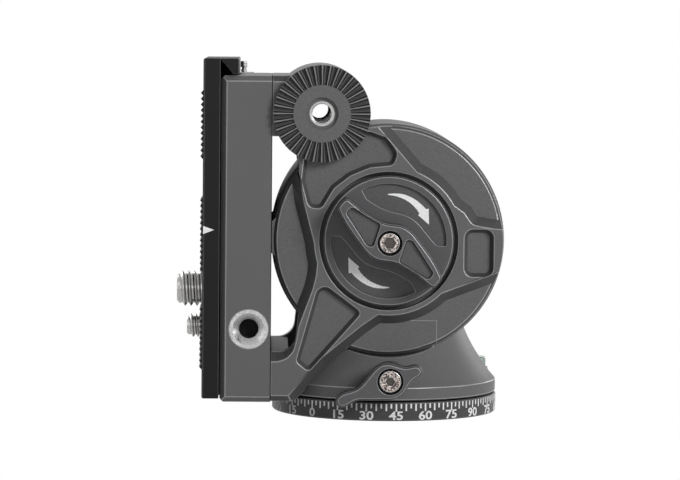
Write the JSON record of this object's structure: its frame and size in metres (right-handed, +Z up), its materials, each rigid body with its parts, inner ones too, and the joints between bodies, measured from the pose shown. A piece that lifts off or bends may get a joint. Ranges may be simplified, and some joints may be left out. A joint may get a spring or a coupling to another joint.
{
  "type": "fluid video head",
  "caption": "Compact fluid video head tipped forward: round base, drum housing, two ribbed side plates, rosettes, dovetail clamp with sliding camera plate.",
  "frame": {"origin": "centre of the base's underside, on the pan axis", "axes": "+Z up along the pan axis, +Y along the tilt axis away from the knob, camera plate on the -X side"},
  "size_m": [0.0863, 0.0679, 0.0939],
  "materials": {
    "ring_black": "satin",
    "housing": "satin",
    "plate_gray": "matte",
    "rosette_black": "satin",
    "knob_black": "matte",
    "plate_black": "satin",
    "pad_rubber": "matte",
    "steel": "satin",
    "machined": "satin",
    "bearing_plastic": "matte",
    "seal_rubber": "matte",
    "level_metal": "satin",
    "level_fluid": "gloss"
  },
  "bodies": {
    "tripod_side": {"mount_disc": "housing", "tripod_insert": "steel", "scale_ring": "ring_black", "pan_spindle": "steel", "spindle_screws": "steel", "pan_damper_ring": "bearing_plastic", "pan_nut": "steel", "pan_wave_washer": "steel"},
    "pan_body": {"main_body": "housing", "pan_thrust_washer": "bearing_plastic", "pan_brake_shoe": "bearing_plastic", "level_cup": "level_metal", "level_vial": "level_fluid", "bearing_carrier": "machined", "carrier_screws": "steel", "tilt_bearings": "steel", "fluid_cup": "machined", "cup_lid": "machined", "cartridge_seals": "seal_rubber", "brake_lining": "seal_rubber"},
    "pan_lock": {"pan_lock_stud": "steel", "pan_lock_lever": "knob_black", "pan_lock_screw": "steel"},
    "platform": {"tilt_axle": "steel", "far_axle_flange": "steel", "fluid_rotor": "machined", "brake_ring": "steel", "brake_pins": "steel", "near_side_plate": "plate_gray", "far_side_plate": "plate_gray", "hub_screws": "steel", "upper_bridge": "plate_gray", "lower_crossbar": "plate_gray", "bridge_screws": "steel", "near_rosette": "rosette_black", "far_rosette": "rosette_black", "rosette_inserts": "steel", "far_hub_cap": "plate_gray", "tilt_stud": "steel", "clamp_body": "plate_gray", "clamp_screws": "steel", "accessory_insert": "steel", "jaw_guide_pins": "steel", "draw_bolt": "steel", "lever_pin": "steel", "catch_base": "steel", "jaw_springs": "steel", "catch_spring": "steel"},
    "tilt_lock": {"tilt_knob": "knob_black", "tilt_knob_screw": "steel"},
    "jaw": {"moving_jaw": "plate_gray"},
    "cam": {"clamp_lever": "knob_black"},
    "catch": {"catch_pin": "steel"},
    "camera_plate": {"quick_release_plate": "plate_black", "grip_pads": "pad_rubber"},
    "large_clip": {"large_screw_retainer": "steel"},
    "large_screw": {"large_camera_screw": "steel"},
    "small_clip": {"small_screw_retainer": "steel"},
    "small_screw": {"small_camera_screw": "steel"}
  },
  "joints": [
    {"name": "pan", "type": "hinge", "parent": "tripod_side", "child": "pan_body", "pos_m": [0, 0, 0.004], "axis": [0, 0, 1], "continuous": true},
    {"name": "pan_lock_turn", "type": "hinge", "parent": "pan_body", "child": "pan_lock", "pos_m": [0.0004, -0.03, 0.01095], "axis": [0, 1, 0], "range_deg": [0, 60]},
    {"name": "tilt", "type": "hinge", "parent": "pan_body", "child": "platform", "pos_m": [0, 0, 0.04665], "axis": [0, 1, 0], "range_deg": [0, 140]},
    {"name": "tilt_lock_turn", "type": "hinge", "parent": "platform", "child": "tilt_lock", "pos_m": [0, -0.025, 0.04665], "axis": [0, 1, 0], "range_deg": [-90, 90]},
    {"name": "clamp_lever_swing", "type": "hinge", "parent": "platform", "child": "cam", "pos_m": [-0.0365, 0.0285, 0.04], "axis": [-1, 0, 0], "range_deg": [0, 92]},
    {"name": "jaw_slide", "type": "slide", "parent": "platform", "child": "jaw", "axis": [0, 1, 0], "range_m": [0, 0.0014]},
    {"name": "catch_lift", "type": "slide", "parent": "platform", "child": "catch", "axis": [0, 0, 1], "range_m": [0, 0.0015], "stiffness_N_per_m": 60, "springref_m": -0.001},
    {"name": "plate_slide", "type": "slide", "parent": "platform", "child": "camera_plate", "axis": [0, 0, 1], "range_m": [0, 0.06]},
    {"name": "large_screw_slide", "type": "slide", "parent": "camera_plate", "child": "large_clip", "axis": [0, 0, 1], "range_m": [0, 0.03]},
    {"name": "large_screw_turn", "type": "hinge", "parent": "large_clip", "child": "large_screw", "pos_m": [-0.045, 0, 0.032], "axis": [-1, 0, 0], "continuous": true},
    {"name": "small_screw_slide", "type": "slide", "parent": "camera_plate", "child": "small_clip", "axis": [0, 0, 1], "range_m": [-0.009, 0]},
    {"name": "small_screw_turn", "type": "hinge", "parent": "small_clip", "child": "small_screw", "pos_m": [-0.045, 0, 0.02205], "axis": [-1, 0, 0], "continuous": true}
  ],
  "couplings": [
    {"joint": "clamp_lever_swing", "follows": "jaw_slide", "rad_per_m": 1122}
  ]
}
